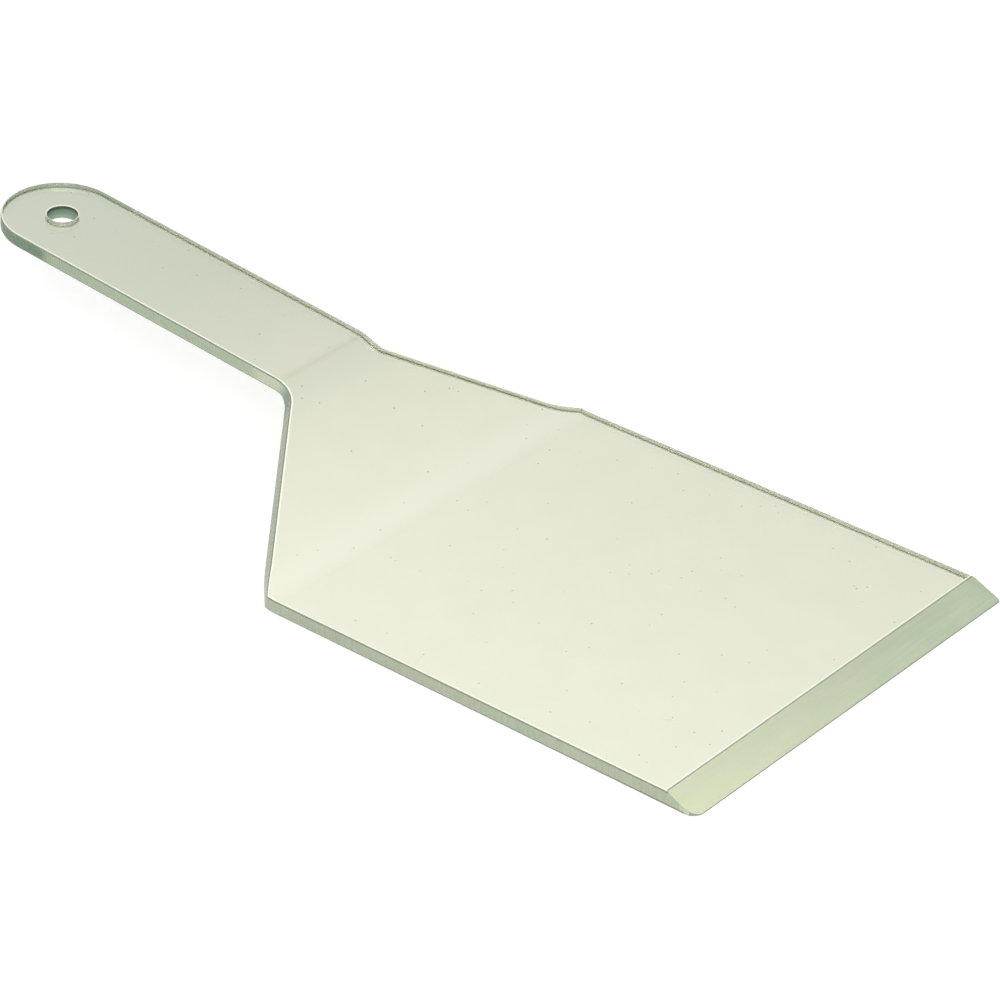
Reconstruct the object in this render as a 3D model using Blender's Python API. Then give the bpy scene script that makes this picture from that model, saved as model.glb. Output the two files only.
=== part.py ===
"""A bench scraper cut from one sheet of clear plastic.

The flat blank has a wide square blade, shoulders that taper to a narrow handle, and a
rounded handle end with a hole to hang it by. A long bevel is milled along the blade's
front edge. The blank is then heated and bent along two lines across its width, so the
handle stands clear of the bench while the blade lies flat on it.

Metres throughout. X runs from the handle to the blade's edge, Z is up, and the blade's
underside lies on Z = 0.
"""
import math

import bmesh
import bpy
from mathutils import Vector

PART_NAME = "scraper"

# Sheet
SHEET_THICKNESS = 0.0050

# Blade
BLADE_WIDTH = 0.1500
BLADE_LENGTH = 0.1694            # middle of the blade bend to the cutting edge
BLADE_CORNER_FROM_BEND = 0.0024  # where the shoulders start, ahead of the bend's middle
BEVEL_LENGTH = 0.0108
EDGE_LAND = 0.0003               # height of the blunt face left at the cutting edge
WORN_CORNER_RADIUS = 0.0040      # the right-hand corner of the cutting edge only

# Shoulders
SHOULDER_LENGTH = 0.0532         # between the middles of the two bends
NECK_FILLET_RADIUS = 0.0080
NECK_CORNER_FROM_BEND = 0.0033   # where the shoulders meet the handle, ahead of the bend

# Handle
HANDLE_WIDTH = 0.0402
HANDLE_LENGTH = 0.1391           # middle of the neck bend to the end of the handle
HANG_HOLE_DIAMETER = 0.0100
HANG_HOLE_FROM_END = 0.0205

# Bends, measured at the middle of the sheet's thickness
BLADE_BEND_ANGLE = math.radians(41.0)
BLADE_BEND_RADIUS = 0.0180
HANDLE_SLOPE = math.radians(5.3)
NECK_BEND_RADIUS = 0.0120

# Finish
SEGMENTS_PER_TURN = 96
BEND_STEP = math.radians(2.5)
SHARP_ANGLE = math.radians(30.0)

NECK_BEND_ANGLE = BLADE_BEND_ANGLE - HANDLE_SLOPE
BLADE_BEND_REACH = BLADE_BEND_RADIUS * BLADE_BEND_ANGLE / 2
NECK_BEND_REACH = NECK_BEND_RADIUS * NECK_BEND_ANGLE / 2


def clear_scene():
    for item in list(bpy.data.objects):
        bpy.data.objects.remove(item, do_unlink=True)


def rounded_corner(before, corner, after, radius):
    """Points of the arc that rounds a corner, from the side of `before` to that of `after`."""
    back = (before - corner).normalized()
    ahead = (after - corner).normalized()
    half_angle = back.angle(ahead) / 2
    centre = corner + (back + ahead).normalized() * radius / math.sin(half_angle)
    start = corner + back * radius / math.tan(half_angle) - centre
    finish = corner + ahead * radius / math.tan(half_angle) - centre
    turn = start.angle_signed(finish)
    steps = max(3, math.ceil(abs(turn) / math.tau * SEGMENTS_PER_TURN))
    points = []
    for step in range(steps + 1):
        angle = -turn * step / steps
        spun = Vector((start.x * math.cos(angle) - start.y * math.sin(angle),
                       start.x * math.sin(angle) + start.y * math.cos(angle)))
        points.append(centre + spun)
    return points


def arc_points(centre, radius, start, sweep):
    steps = max(6, math.ceil(abs(sweep) / math.tau * SEGMENTS_PER_TURN))
    return [centre + Vector((radius * math.cos(start + sweep * step / steps),
                             radius * math.sin(start + sweep * step / steps)))
            for step in range(steps + 1)]


def blank_outline():
    """The flat blank, anticlockwise from above; X = 0 is the middle of the blade bend."""
    half_blade = BLADE_WIDTH / 2
    half_handle = HANDLE_WIDTH / 2
    neck_x = NECK_CORNER_FROM_BEND - SHOULDER_LENGTH
    end_centre = Vector((half_handle - SHOULDER_LENGTH - HANDLE_LENGTH, 0))

    left_shoulder = Vector((BLADE_CORNER_FROM_BEND, half_blade))
    left_neck = Vector((neck_x, half_handle))
    left_end = Vector((end_centre.x, half_handle))
    right_end = Vector((end_centre.x, -half_handle))
    right_neck = Vector((neck_x, -half_handle))
    right_shoulder = Vector((BLADE_CORNER_FROM_BEND, -half_blade))
    right_tip = Vector((BLADE_LENGTH, -half_blade))
    left_tip = Vector((BLADE_LENGTH, half_blade))

    points = [left_tip, left_shoulder]
    points += rounded_corner(left_shoulder, left_neck, left_end, NECK_FILLET_RADIUS)
    points += arc_points(end_centre, half_handle, math.pi / 2, math.pi)
    points += rounded_corner(right_end, right_neck, right_shoulder, NECK_FILLET_RADIUS)
    points.append(right_shoulder)
    points += rounded_corner(right_shoulder, right_tip, left_tip, WORN_CORNER_RADIUS)
    return points


def hang_hole():
    centre = Vector((HANG_HOLE_FROM_END - SHOULDER_LENGTH - HANDLE_LENGTH, 0))
    return arc_points(centre, HANG_HOLE_DIAMETER / 2, 0, math.tau)[:-1]


def cut_blank():
    """The outline and the hole cut through the sheet, which lies on Z = 0."""
    curve = bpy.data.curves.new("blank", "CURVE")
    curve.dimensions = "2D"
    curve.fill_mode = "BOTH"
    curve.extrude = SHEET_THICKNESS / 2
    for points in (blank_outline(), hang_hole()):
        spline = curve.splines.new("POLY")
        spline.points.add(len(points) - 1)
        spline.use_cyclic_u = True
        for target, point in zip(spline.points, points):
            target.co = (point.x, point.y, 0, 1)
    outline = bpy.data.objects.new("blank", curve)
    outline.location.z = SHEET_THICKNESS / 2
    bpy.context.scene.collection.objects.link(outline)
    bpy.context.view_layer.update()

    graph = bpy.context.evaluated_depsgraph_get()
    mesh = bpy.data.meshes.new_from_object(outline.evaluated_get(graph))
    mesh.transform(outline.matrix_world)
    bpy.data.objects.remove(outline, do_unlink=True)
    bpy.data.curves.remove(curve)
    return mesh


def cut_away(shape, point, direction):
    """Plane off everything beyond a point, and close the face the cut leaves."""
    everything = shape.verts[:] + shape.edges[:] + shape.faces[:]
    cut = bmesh.ops.bisect_plane(shape, geom=everything, dist=1e-7, plane_co=point,
                                 plane_no=direction, clear_outer=True)
    rim = [item for item in cut["geom_cut"] if isinstance(item, bmesh.types.BMEdge)]
    bmesh.ops.contextual_create(shape, geom=rim)


def mill_bevel(shape):
    """One long slope on the blade's upper face, down to a thin blunt edge."""
    drop = SHEET_THICKNESS - EDGE_LAND
    top_of_bevel = Vector((BLADE_LENGTH - BEVEL_LENGTH, 0, SHEET_THICKNESS))
    cut_away(shape, top_of_bevel, Vector((drop, 0, BEVEL_LENGTH)).normalized())


def score_bend(shape, middle, reach, angle):
    """Cross lines that divide a bend into flat steps."""
    steps = math.ceil(angle / BEND_STEP)
    for step in range(steps + 1):
        line_x = middle - reach + 2 * reach * step / steps
        everything = shape.verts[:] + shape.edges[:] + shape.faces[:]
        bmesh.ops.bisect_plane(shape, geom=everything, dist=1e-7,
                               plane_co=Vector((line_x, 0, 0)), plane_no=Vector((1, 0, 0)))


def follow_arc(start, slope, radius, angle, travel):
    """Go `travel` back from `start` around an arc; gives the place and the new slope."""
    new_slope = slope + angle / abs(angle) * travel / radius
    step_x = (math.sin(new_slope) - math.sin(slope)) * radius * angle / abs(angle)
    step_z = (math.cos(slope) - math.cos(new_slope)) * radius * angle / abs(angle)
    return start + Vector((-step_x, step_z)), new_slope


def follow_line(start, slope, travel):
    return start + Vector((-math.cos(slope), math.sin(slope))) * travel


def sheet_middle(flat_x):
    """Where a point of the blank's middle plane ends up, with the sheet's slope there."""
    slope = 0.0
    place = Vector((flat_x, SHEET_THICKNESS / 2))
    if flat_x >= BLADE_BEND_REACH:
        return place, slope

    place.x = BLADE_BEND_REACH
    travel = BLADE_BEND_REACH - flat_x
    bend_travel = min(travel, 2 * BLADE_BEND_REACH)
    place, slope = follow_arc(place, slope, BLADE_BEND_RADIUS, BLADE_BEND_ANGLE, bend_travel)
    travel -= bend_travel

    line_travel = min(travel, SHOULDER_LENGTH - BLADE_BEND_REACH - NECK_BEND_REACH)
    place = follow_line(place, slope, line_travel)
    travel -= line_travel

    bend_travel = min(travel, 2 * NECK_BEND_REACH)
    place, slope = follow_arc(place, slope, NECK_BEND_RADIUS, -NECK_BEND_ANGLE, bend_travel)
    return follow_line(place, slope, travel - bend_travel), slope


def bend_sheet(shape):
    """Turn up the shoulders at the blade, and level the handle off again at the neck."""
    for vert in shape.verts:
        height = vert.co.z - SHEET_THICKNESS / 2
        place, slope = sheet_middle(vert.co.x)
        vert.co.x = place.x + height * math.sin(slope)
        vert.co.z = place.y + height * math.cos(slope)


def centre_along_x(shape):
    low = min(vert.co.x for vert in shape.verts)
    high = max(vert.co.x for vert in shape.verts)
    bmesh.ops.translate(shape, verts=shape.verts, vec=Vector((-(low + high) / 2, 0, 0)))


def clear_plastic():
    material = bpy.data.materials.new("clear_plastic")
    material.use_nodes = True
    shader = material.node_tree.nodes["Principled BSDF"]
    shader.inputs["Base Color"].default_value = (0.80, 0.83, 0.70, 1.0)
    shader.inputs["Roughness"].default_value = 0.05
    shader.inputs["Metallic"].default_value = 0.0
    material.diffuse_color = (0.80, 0.83, 0.70, 1.0)
    material.roughness = 0.05
    return material


def build_scraper(collection):
    mesh = cut_blank()
    mesh.name = PART_NAME
    shape = bmesh.new()
    shape.from_mesh(mesh)
    bmesh.ops.remove_doubles(shape, verts=shape.verts, dist=1e-6)
    mill_bevel(shape)
    score_bend(shape, 0.0, BLADE_BEND_REACH, BLADE_BEND_ANGLE)
    score_bend(shape, -SHOULDER_LENGTH, NECK_BEND_REACH, NECK_BEND_ANGLE)
    bmesh.ops.triangulate(shape, faces=shape.faces)
    bend_sheet(shape)
    centre_along_x(shape)
    bmesh.ops.recalc_face_normals(shape, faces=shape.faces)
    shape.to_mesh(mesh)
    shape.free()

    mesh.materials.clear()
    mesh.materials.append(clear_plastic())
    mesh.shade_smooth()
    mesh.set_sharp_from_angle(angle=SHARP_ANGLE)
    scraper = bpy.data.objects.new(PART_NAME, mesh)
    collection.objects.link(scraper)
    return scraper


clear_scene()
part_collection = bpy.data.collections.new("bench_scraper")
bpy.context.scene.collection.children.link(part_collection)
build_scraper(part_collection)
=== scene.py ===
"""A clear plastic bench scraper lying on a pale bench under soft studio light."""
import math

import bmesh
import bpy
from mathutils import Matrix, Vector


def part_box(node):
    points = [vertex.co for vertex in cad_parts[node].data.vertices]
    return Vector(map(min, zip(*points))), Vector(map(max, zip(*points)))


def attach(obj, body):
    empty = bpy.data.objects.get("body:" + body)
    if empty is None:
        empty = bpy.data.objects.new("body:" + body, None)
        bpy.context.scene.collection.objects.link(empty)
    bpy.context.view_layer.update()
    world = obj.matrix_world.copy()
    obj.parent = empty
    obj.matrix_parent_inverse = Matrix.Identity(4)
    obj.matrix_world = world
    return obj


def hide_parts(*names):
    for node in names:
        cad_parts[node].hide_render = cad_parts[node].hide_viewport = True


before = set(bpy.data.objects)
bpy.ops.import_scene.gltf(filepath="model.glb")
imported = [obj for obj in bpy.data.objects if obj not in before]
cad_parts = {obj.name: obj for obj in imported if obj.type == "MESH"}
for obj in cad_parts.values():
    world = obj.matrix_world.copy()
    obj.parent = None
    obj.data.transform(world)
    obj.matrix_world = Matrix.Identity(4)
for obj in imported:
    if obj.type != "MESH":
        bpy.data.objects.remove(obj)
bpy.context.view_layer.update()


# ---------------------------------------------------------------------------
# The sheet
# One piece of clear, faintly green plastic sheet. The flat blank is sawn to
# shape and drilled, a long bevel is milled on its front edge, its rims are
# broken with a scraper, and it is then heated and bent along two lines.
# ---------------------------------------------------------------------------
box_low, box_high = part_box("scraper")

sheet_thickness = 0.0050
half_blade = (box_high.y - box_low.y) / 2
blade_length = 0.1694
shoulder_corner_x = 0.0024
shoulder_length = 0.0532
neck_corner_x = 0.0033 - shoulder_length
half_handle = 0.0201
handle_end_x = -shoulder_length - 0.1391
hole_radius = 0.0050
hole_x = handle_end_x + 0.0205
bevel_length = 0.0108
edge_land = 0.0003
worn_corner = 0.0040
neck_fillet = 0.0080

blade_bend_angle = math.radians(41.0)
blade_bend_radius = 0.0180
neck_bend_angle = math.radians(41.0 - 5.3)
neck_bend_radius = 0.0120


def round_corner(blank, corner, reach, steps):
    """Round one corner of the flat blank; the arc starts `reach` from the corner."""
    nearest = min(blank.verts, key=lambda vert: (vert.co - Vector(corner)).length)
    bmesh.ops.bevel(blank, geom=[nearest], offset=reach, offset_type="OFFSET", affect="VERTICES",
                    segments=steps, profile=0.5, material=-1, clamp_overlap=False)


def saw_blank():
    """The blank's outline with its rounded corners, raised to the sheet's thickness."""
    blank = bmesh.new()
    corners = [(blade_length, half_blade), (shoulder_corner_x, half_blade),
               (neck_corner_x, half_handle), (handle_end_x, half_handle),
               (handle_end_x, -half_handle), (neck_corner_x, -half_handle),
               (shoulder_corner_x, -half_blade), (blade_length, -half_blade)]
    bmesh.ops.contextual_create(blank, geom=[blank.verts.new((x, y, 0)) for x, y in corners])
    taper = math.atan2(half_blade - half_handle, shoulder_corner_x - neck_corner_x)
    for side in (1, -1):
        round_corner(blank, (neck_corner_x, side * half_handle, 0),
                     neck_fillet * math.tan(taper / 2), 16)
        round_corner(blank, (handle_end_x, side * half_handle, 0), half_handle * 0.9995, 40)
    round_corner(blank, (blade_length, -half_blade, 0), worn_corner, 16)
    bmesh.ops.remove_doubles(blank, verts=blank.verts, dist=0.00005)
    risen = bmesh.ops.extrude_face_region(blank, geom=blank.faces[:])
    bmesh.ops.translate(blank, vec=(0, 0, sheet_thickness),
                        verts=[item for item in risen["geom"] if isinstance(item, bmesh.types.BMVert)])
    bmesh.ops.recalc_face_normals(blank, faces=blank.faces)
    return blank


def drill_hole(blank):
    """Drill the hanging hole straight through the handle's rounded end."""
    drilled = bpy.data.meshes.new("drilled_blank")
    blank.to_mesh(drilled)
    blank.free()
    drill_shape = bmesh.new()
    bmesh.ops.create_cone(drill_shape, cap_ends=True, segments=96, radius1=hole_radius,
                          radius2=hole_radius, depth=sheet_thickness * 3,
                          matrix=Matrix.Translation((hole_x, 0, sheet_thickness / 2)))
    drill_mesh = bpy.data.meshes.new("drill")
    drill_shape.to_mesh(drill_mesh)
    drill_shape.free()
    drill = bpy.data.objects.new("drill", drill_mesh)
    holder = bpy.data.objects.new("drilled_blank", drilled)
    for item in (drill, holder):
        bpy.context.scene.collection.objects.link(item)
    cut = holder.modifiers.new("hole", "BOOLEAN")
    cut.operation = "DIFFERENCE"
    cut.solver = "EXACT"
    cut.object = drill
    bpy.context.view_layer.update()
    result = bpy.data.meshes.new_from_object(
        holder.evaluated_get(bpy.context.evaluated_depsgraph_get()))
    for item in (drill, holder):
        bpy.data.objects.remove(item, do_unlink=True)
    shape = bmesh.new()
    shape.from_mesh(result)
    bpy.data.meshes.remove(result)
    return shape


def sharp_edges(shape, least_degrees):
    return [edge for edge in shape.edges
            if edge.is_manifold and edge.calc_face_angle() > math.radians(least_degrees)]


def break_rims(shape):
    """Take the sharpness off the blank's rims, the hole's too, with two narrow facets.

    The rim that becomes the cutting edge stays as it is.
    """
    rims = [edge for edge in sharp_edges(shape, 50)
            if not all(vert.co.x > blade_length - worn_corner - 0.0001
                       and vert.co.z < sheet_thickness / 2 for vert in edge.verts)]
    bmesh.ops.bevel(shape, geom=rims, offset=0.00065, offset_type="OFFSET", affect="EDGES",
                    segments=2, profile=0.5, material=-1, clamp_overlap=False)


def mill_bevel(shape):
    """The long slope on the blade's upper side, down to a thin blunt edge."""
    drop = sheet_thickness - edge_land
    cut = bmesh.ops.bisect_plane(shape, geom=shape.verts[:] + shape.edges[:] + shape.faces[:],
                                 dist=1e-7, clear_outer=True,
                                 plane_co=(blade_length - bevel_length, 0, sheet_thickness),
                                 plane_no=Vector((drop, 0, bevel_length)).normalized())
    rim = [item for item in cut["geom_cut"] if isinstance(item, bmesh.types.BMEdge)]
    bmesh.ops.contextual_create(shape, geom=rim)
    bmesh.ops.recalc_face_normals(shape, faces=shape.faces)


def ease_ridge(shape):
    """Blunt the long ridge where the bevel meets the blade's top."""
    ridge_x = blade_length - bevel_length
    ridge = [edge for edge in sharp_edges(shape, 10)
             if all(abs(vert.co.x - ridge_x) < 0.0001 and vert.co.z > sheet_thickness - 0.0001
                    for vert in edge.verts)]
    bmesh.ops.bevel(shape, geom=ridge, offset=0.00062, offset_type="OFFSET", affect="EDGES",
                    segments=2, profile=0.5, material=-1, clamp_overlap=False)


def cross_cut(shape, line_x):
    bmesh.ops.bisect_plane(shape, geom=shape.verts[:] + shape.edges[:] + shape.faces[:],
                           dist=1e-7, plane_co=(line_x, 0, 0), plane_no=(1, 0, 0))


def bend(shape, flat_x, middle, radius, angle):
    """Bend everything behind `middle` by `angle`, in many small turns spread over the arc."""
    turns = 2 * math.ceil(abs(angle) / math.radians(2.0))
    reach = radius * abs(angle) / 2
    middle_height = sheet_thickness / 2
    for turn in range(turns + 1):
        line_x = middle - reach + 2 * reach * turn / turns
        amount = angle / turns / (2 if turn in (0, turns) else 1)
        behind = [vert for vert in shape.verts if flat_x[vert] < line_x - 1e-6]
        along = [vert for vert in shape.verts if abs(flat_x[vert] - line_x) <= 1e-6]
        for verts, share in ((behind, 1.0), (along, 0.5)):
            bmesh.ops.rotate(shape, verts=verts, cent=(line_x, 0, middle_height),
                             matrix=Matrix.Rotation(amount * share, 3, "Y"))


def bend_lines(middle, radius, angle):
    turns = 2 * math.ceil(abs(angle) / math.radians(2.0))
    reach = radius * abs(angle) / 2
    return [middle - reach + 2 * reach * turn / turns for turn in range(turns + 1)]


sheet_shape = drill_hole(saw_blank())
break_rims(sheet_shape)
mill_bevel(sheet_shape)
ease_ridge(sheet_shape)
bmesh.ops.dissolve_degenerate(sheet_shape, edges=sheet_shape.edges, dist=0.000005)

# The material of each face is known while the sheet is still flat. Most get a finish; the rim
# facets, the hole's upper rim and the blunt cutting edge get painted highlight and painted shade.
POLISHED, SAWN, MILLED, UPPER_RIM, LOWER_RIM, DRILLED, PAINTED_SHADE_RIM = range(7)
for face in sheet_shape.faces:
    tilt = math.degrees(math.acos(min(1.0, abs(face.normal.z))))
    middle = face.calc_center_median()
    if math.hypot(middle.x - hole_x, middle.y) < hole_radius + 0.001 and tilt > 40:
        face.material_index = PAINTED_SHADE_RIM if 80 > tilt and face.normal.z > 0 else DRILLED
    elif abs(face.normal.y) < 0.01 and face.normal.x > 0 and middle.x > blade_length - 0.012:
        face.material_index = (POLISHED if tilt < 5 else UPPER_RIM if tilt < 12
                               else LOWER_RIM if tilt < 20 else MILLED if tilt < 60 else PAINTED_SHADE_RIM)
    elif tilt > 80:
        # The walls round the worn tip get the lower rims' painted shade.
        at_tip = middle.x > blade_length - worn_corner and face.normal.x > 0.35
        face.material_index = LOWER_RIM if at_tip else SAWN
    elif tilt > 40:
        face.material_index = LOWER_RIM
    elif tilt > 5:
        face.material_index = UPPER_RIM

for line_x in (bend_lines(0.0, blade_bend_radius, blade_bend_angle)
               + bend_lines(-shoulder_length, neck_bend_radius, neck_bend_angle)
               + [-0.017, -0.026, -0.035, -0.044, -0.075, -0.110, 0.025, 0.060, 0.100, 0.140]):
    cross_cut(sheet_shape, line_x)
flat_x = {vert: vert.co.x for vert in sheet_shape.verts}
bend(sheet_shape, flat_x, -shoulder_length, neck_bend_radius, -neck_bend_angle)
bend(sheet_shape, flat_x, 0.0, blade_bend_radius, blade_bend_angle)
front = max(vert.co.x for vert in sheet_shape.verts)
bottom = min(vert.co.z for vert in sheet_shape.verts)
bmesh.ops.translate(sheet_shape, verts=sheet_shape.verts,
                    vec=(box_high.x - front, 0, box_low.z - bottom))

sheet_mesh = bpy.data.meshes.new("scraper_sheet")
sheet_shape.to_mesh(sheet_mesh)
sheet_shape.free()
sheet_mesh.shade_smooth()
sheet_mesh.set_sharp_from_angle(angle=math.radians(15))
sheet = bpy.data.objects.new("scraper_sheet", sheet_mesh)
bpy.context.scene.collection.objects.link(sheet)
even = sheet.modifiers.new("flat_faces_stay_flat", "WEIGHTED_NORMAL")
even.mode = "FACE_AREA"
even.weight = 100
even.keep_sharp = True


def plastic(name, clear):
    """The sheet's plastic with one finish; the colour, roughness and marks are added to it."""
    material = bpy.data.materials.new(name)
    material.use_nodes = True
    sheet_mesh.materials.append(material)
    tree = material.node_tree
    shader = tree.nodes["Principled BSDF"]
    shader.inputs["IOR"].default_value = 1.49
    shader.inputs["Transmission Weight"].default_value = clear
    absorb = tree.nodes.new("ShaderNodeVolumeAbsorption")
    absorb.inputs["Color"].default_value = (0.30, 0.62, 0.32, 1.0)
    absorb.inputs["Density"].default_value = 2.0
    tree.links.new(absorb.outputs["Volume"], tree.nodes["Material Output"].inputs["Volume"])
    return tree, shader, tree.nodes.new("ShaderNodeTexCoord").outputs["Object"]


def grain(tree, place, scale, turn=0.0, detail=2.0):
    """Noise stretched by its scale along each axis, and turned about the vertical."""
    lay = tree.nodes.new("ShaderNodeMapping")
    lay.vector_type = "TEXTURE"
    lay.inputs["Rotation"].default_value = (0, 0, math.radians(turn))
    lay.inputs["Scale"].default_value = [1.0 / amount for amount in scale]
    noise = tree.nodes.new("ShaderNodeTexNoise")
    noise.inputs["Scale"].default_value = 1.0
    noise.inputs["Detail"].default_value = detail
    tree.links.new(place, lay.inputs["Vector"])
    tree.links.new(lay.outputs["Vector"], noise.inputs["Vector"])
    return noise.outputs[0]


def remap(tree, value, from_low, from_high, to_low, to_high):
    node = tree.nodes.new("ShaderNodeMapRange")
    node.interpolation_type = "SMOOTHSTEP"
    for name, amount in (("From Min", from_low), ("From Max", from_high),
                         ("To Min", to_low), ("To Max", to_high)):
        node.inputs[name].default_value = amount
    tree.links.new(value, node.inputs["Value"])
    return node.outputs["Result"]


def blend(tree, share, first, second):
    """Two colours mixed; each is three numbers or another node's output."""
    node = tree.nodes.new("ShaderNodeMix")
    node.data_type = "RGBA"
    tree.links.new(share, node.inputs[0])
    for socket, colour in ((node.inputs[6], first), (node.inputs[7], second)):
        if isinstance(colour, tuple):
            socket.default_value = (*colour, 1.0)
        else:
            tree.links.new(colour, socket)
    return node.outputs[2]


def sums(tree, kind, first, second=0.0):
    """One Math node; each side is a number or another node's output."""
    node = tree.nodes.new("ShaderNodeMath")
    node.operation = kind
    for socket, value in zip(node.inputs, (first, second)):
        if isinstance(value, (int, float)):
            socket.default_value = value
        else:
            tree.links.new(value, socket)
    return node.outputs[0]


def marks(tree, shader, height, depth):
    node = tree.nodes.new("ShaderNodeBump")
    node.inputs["Strength"].default_value = 1.0
    node.inputs["Distance"].default_value = depth
    tree.links.new(height, node.inputs["Height"])
    tree.links.new(node.outputs["Normal"], shader.inputs["Normal"])


def along(tree, place, axis):
    split = tree.nodes.new("ShaderNodeSeparateXYZ")
    tree.links.new(place, split.inputs[0])
    return split.outputs[axis]


def band(tree, place, middle, inner, outer):
    """1 within `inner` of a line across the sheet, fading to 0 at `outer`."""
    away = sums(tree, "ABSOLUTE", sums(tree, "SUBTRACT", along(tree, place, "X"), middle))
    return remap(tree, away, inner, outer, 1, 0)


# Faces: cast and clear, with a few hairline scratches and specks in the plastic. A band of
# painted highlight makes the blade bend a little brighter, a band of painted shade makes the neck
# bend a little duller, and the faces are painted greener towards the handle as shade.
blade_bend_x = box_high.x - blade_length
neck_bend_x = blade_bend_x - shoulder_length * math.cos(blade_bend_angle)
tree, shader, place = plastic("polished_faces", 1.0)
scratches = sums(tree, "ADD", remap(tree, grain(tree, place, (25, 1500, 1500), 33), 0.74, 0.78, 0, 1),
                 remap(tree, grain(tree, place, (1400, 30, 1400), 12), 0.75, 0.79, 0, 1))
specks = tree.nodes.new("ShaderNodeTexVoronoi")
specks.inputs["Scale"].default_value = 150
tree.links.new(place, specks.inputs["Vector"])
cloud = grain(tree, place, (70, 70, 70), 0, 4)
tint = blend(tree, remap(tree, cloud, 0.3, 0.7, 0, 1), (0.920, 0.933, 0.765), (0.940, 0.947, 0.785))
tint = blend(tree, remap(tree, along(tree, place, "X"), -0.15, -0.03, 1, 0), tint, (0.895, 0.95, 0.775))
tint = blend(tree, band(tree, place, blade_bend_x, 0.001, 0.008), tint, (0.955, 0.960, 0.810))
tint = blend(tree, band(tree, place, neck_bend_x + 0.003, 0.0005, 0.0035), tint, (0.885, 0.900, 0.755))
tree.links.new(blend(tree, remap(tree, specks.outputs["Distance"], 0.04, 0.06, 0.8, 0),
                     tint, (0.30, 0.31, 0.26)), shader.inputs["Base Color"])
tree.links.new(remap(tree, scratches, 0, 1, 0.02, 0.08), shader.inputs["Roughness"])
marks(tree, shader, scratches, -0.000008)

# Sawn edges: fine upright saw marks, scraped nearly smooth. Along their length the walls are
# painted with light and shade: brighter on the shoulders, darker along the handle, and darkest
# in a band at the neck and round the handle's end.
tree, shader, place = plastic("sawn_edges", 0.5)
saw = grain(tree, place, (900, 900, 60))
cloud = grain(tree, place, (45, 45, 160), 0, 3)
tint = blend(tree, remap(tree, sums(tree, "ADD", cloud, saw), 0.7, 1.3, 0, 1),
             (0.76, 0.86, 0.62), (0.84, 0.94, 0.70))
tint = blend(tree, remap(tree, along(tree, place, "X"), 0.003, 0.006, 1, 0), tint, (0.92, 1.0, 0.76))
tint = blend(tree, remap(tree, along(tree, place, "X"), -0.052, -0.044, 1, 0), tint, (0.68, 0.78, 0.57))
tint = blend(tree, band(tree, place, neck_bend_x + 0.002, 0.001, 0.0045), tint, (0.55, 0.70, 0.58))
tree.links.new(blend(tree, remap(tree, along(tree, place, "X"), -0.1445, -0.1395, 1, 0),
                     tint, (0.28, 0.42, 0.28)), shader.inputs["Base Color"])
tree.links.new(remap(tree, saw, 0.3, 0.7, 0.24, 0.34), shader.inputs["Roughness"])
marks(tree, shader, saw, 0.0000015)

# Bevel: satin from the cutter, with marks along its length; warmer at the right-hand end.
tree, shader, place = plastic("milled_bevel", 0.3)
cutter = grain(tree, place, (1200, 45, 1200), 0, 3)
cloud = grain(tree, place, (160, 60, 160), 0, 4)
tint = blend(tree, remap(tree, along(tree, place, "Y"), -0.11, 0.05, 0, 1),
             (0.76, 0.82, 0.54), (0.55, 0.645, 0.455))
tree.links.new(blend(tree, remap(tree, sums(tree, "ADD", cutter, cloud), 0.8, 1.25, 0, 0.2),
                     tint, (0.86, 0.84, 0.74)), shader.inputs["Base Color"])
tree.links.new(remap(tree, cloud, 0.3, 0.7, 0.35, 0.52), shader.inputs["Roughness"])
marks(tree, shader, cutter, 0.00005)

# Broken rims: the facet next to the face is painted near white as a highlight, the one next to
# the edge is painted dark as shade.
for name, clear, pale, dull in (("upper_rims_painted_highlight", 0.1, (1.0, 1.0, 0.88), (0.98, 0.99, 0.85)),
                                ("lower_rims_painted_shade", 0.3, (0.37, 0.42, 0.31), (0.32, 0.37, 0.27))):
    tree, shader, place = plastic(name, clear)
    scrape = grain(tree, place, (250, 250, 250), 0, 3)
    tree.links.new(blend(tree, remap(tree, scrape, 0.35, 0.65, 0, 1), pale, dull),
                   shader.inputs["Base Color"])
    tree.links.new(remap(tree, scrape, 0.35, 0.65, 0.22, 0.30), shader.inputs["Roughness"])
    marks(tree, shader, scrape, 0.000001)

# Hole: ringed by the drill, and painted dark as shade where it looks far into the sheet, darker
# towards the top and near black at the upper rim.
tree, shader, place = plastic("drilled_hole", 0.5)
rings = grain(tree, place, (60, 60, 1500))
hole_shade = blend(tree, remap(tree, along(tree, place, "Z"), 0.0465, 0.0505, 0, 1),
             (0.62, 0.74, 0.58), (0.20, 0.36, 0.26))
tree.links.new(blend(tree, remap(tree, along(tree, place, "Z"), 0.0498, 0.0508, 0, 1),
                     hole_shade, (0.05, 0.08, 0.06)), shader.inputs["Base Color"])
tree.links.new(remap(tree, rings, 0.3, 0.7, 0.18, 0.34), shader.inputs["Roughness"])
marks(tree, shader, rings, 0.00002)

# The hole's upper rim and the blunt cutting edge, painted near black as shade; little light
# comes out of them.
tree, shader, place = plastic("painted_shade_rims", 0.1)
rim_mottle = grain(tree, place, (400, 400, 400), 0, 3)
tree.links.new(blend(tree, remap(tree, rim_mottle, 0.3, 0.7, 0, 1), (0.04, 0.05, 0.04), (0.09, 0.12, 0.09)),
               shader.inputs["Base Color"])
tree.links.new(remap(tree, rim_mottle, 0.3, 0.7, 0.15, 0.30), shader.inputs["Roughness"])
marks(tree, shader, rim_mottle, 0.00001)
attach(sheet, "root")
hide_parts("scraper")


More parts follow.
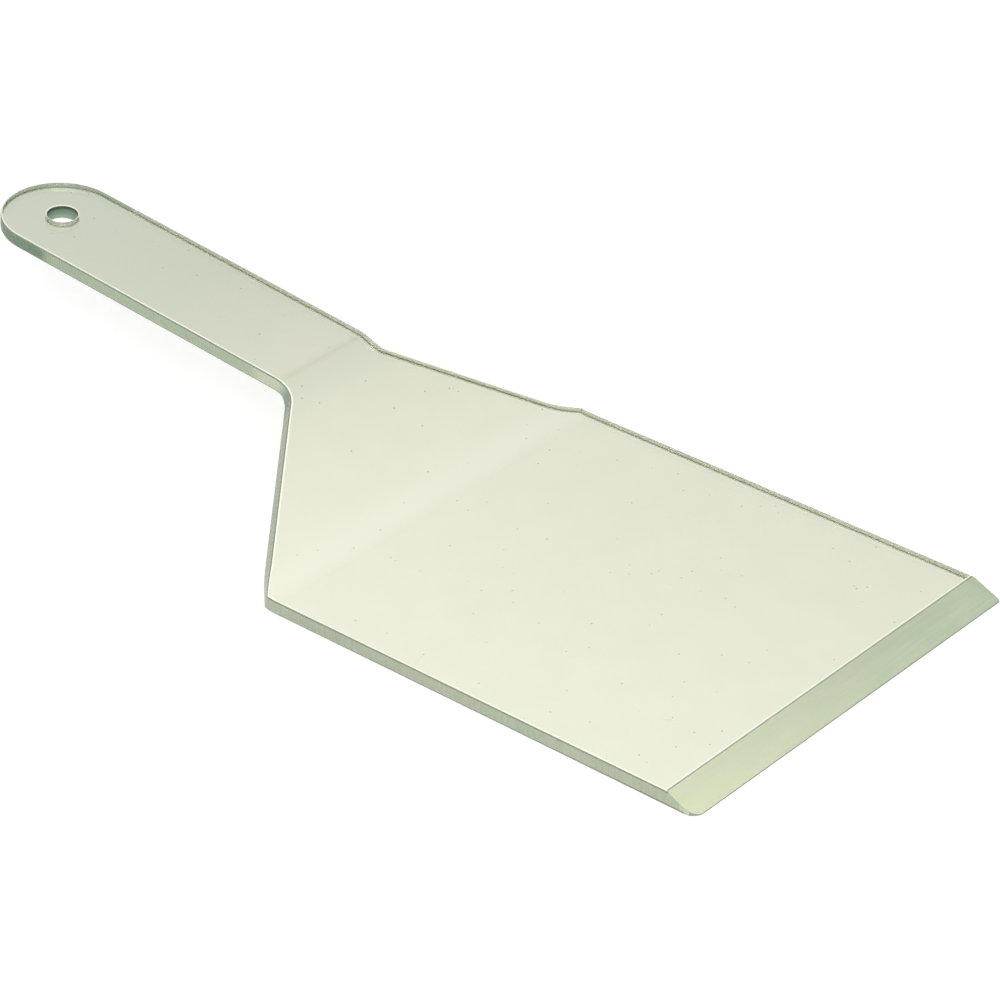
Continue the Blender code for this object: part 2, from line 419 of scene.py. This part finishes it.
# ---------------------------------------------------------------------------
# The bench
# A broad pale work surface, painted matt, that the scraper lies on. Its bare
# top reads as white and still takes the scraper's soft shadow.
# ---------------------------------------------------------------------------
bench_shape = bmesh.new()
bmesh.ops.create_grid(bench_shape, x_segments=1, y_segments=1, size=6.0,
                      matrix=Matrix.Translation((0, 0, box_low.z - 0.0003)))
bench_mesh = bpy.data.meshes.new("bench")
bench_shape.to_mesh(bench_mesh)
bench_shape.free()
bench = bpy.data.objects.new("bench", bench_mesh)
bpy.context.scene.collection.objects.link(bench)

bench_paint = bpy.data.materials.new("bench_paint")
bench_paint.use_nodes = True
bench_mesh.materials.append(bench_paint)
tree = bench_paint.node_tree
paint = tree.nodes["Principled BSDF"]
paint.inputs["Base Color"].default_value = (0.80, 0.80, 0.80, 1)
paint.inputs["Roughness"].default_value = 0.9
paint.inputs["Specular IOR Level"].default_value = 0.0
path = tree.nodes.new("ShaderNodeLightPath")


# Seen through the sheet or reflected in it, the bench is a plain glow without the scraper's
# shadow, with painted light and shade of its own: it falls off in brightness behind the handle
# and rises towards -Y.
place = tree.nodes.new("ShaderNodeTexCoord")
across = tree.nodes.new("ShaderNodeSeparateXYZ")
tree.links.new(place.outputs["Object"], across.inputs[0])
fall = tree.nodes.new("ShaderNodeMapRange")
fall.interpolation_type = "SMOOTHSTEP"
for name, value in (("From Min", -0.17), ("From Max", 0.02), ("To Min", 0.75), ("To Max", 0.92)):
    fall.inputs[name].default_value = value
tree.links.new(across.outputs["X"], fall.inputs["Value"])
glow = sums(tree, "ADD", fall.outputs["Result"], sums(tree, "MULTIPLY", across.outputs["Y"], -0.85))
through = sums(tree, "MAXIMUM", path.outputs["Is Transmission Ray"], path.outputs["Is Glossy Ray"])
paint.inputs["Emission Color"].default_value = (1, 1, 1, 1)
tree.links.new(sums(tree, "MULTIPLY", path.outputs["Is Camera Ray"], 0.45),
               paint.inputs["Emission Strength"])
painted_bench_glow = tree.nodes.new("ShaderNodeEmission")
tree.links.new(sums(tree, "MAXIMUM", glow, 0.0), painted_bench_glow.inputs["Strength"])
seen = tree.nodes.new("ShaderNodeMixShader")
tree.links.new(through, seen.inputs["Fac"])
tree.links.new(paint.outputs["BSDF"], seen.inputs[1])
tree.links.new(painted_bench_glow.outputs["Emission"], seen.inputs[2])
tree.links.new(seen.outputs["Shader"], tree.nodes["Material Output"].inputs["Surface"])


# ---------------------------------------------------------------------------
# Light and camera
# An even white studio, one broad softbox on the camera's side, and a long lens
# that looks down on the scraper from the front right.
# ---------------------------------------------------------------------------
world = bpy.data.worlds.new("studio")
bpy.context.scene.world = world
world.use_nodes = True
world.node_tree.nodes["Background"].inputs["Color"].default_value = (1, 1, 1, 1)
world.node_tree.nodes["Background"].inputs["Strength"].default_value = 0.55

lamp_data = bpy.data.lights.new("softbox", "AREA")
lamp_data.shape = "RECTANGLE"
lamp_data.size = 0.8
lamp_data.size_y = 0.7
lamp_data.energy = 9
lamp = bpy.data.objects.new("softbox", lamp_data)
lamp.location = (0.62, -0.69, 0.80)
lamp.rotation_euler = (Vector((0, 0, 0)) - lamp.location).to_track_quat("-Z", "Y").to_euler()
bpy.context.scene.collection.objects.link(lamp)

azimuth = math.radians(40.67)
elevation = math.radians(31.54)
back = Vector((math.sin(azimuth) * math.cos(elevation),
               -math.cos(azimuth) * math.cos(elevation), math.sin(elevation)))
aim = (box_low + box_high) / 2 + Vector((0.0287, 0.0099, -0.0182))
camera_data = bpy.data.cameras.new("camera")
camera_data.lens = 154.2
camera_data.sensor_width = 36
camera = bpy.data.objects.new("camera", camera_data)
camera.location = aim + back * 1.3445
camera.rotation_euler = back.to_track_quat("Z", "Y").to_euler()
bpy.context.scene.collection.objects.link(camera)
bpy.context.scene.camera = camera
bpy.context.scene.view_settings.view_transform = "Standard"
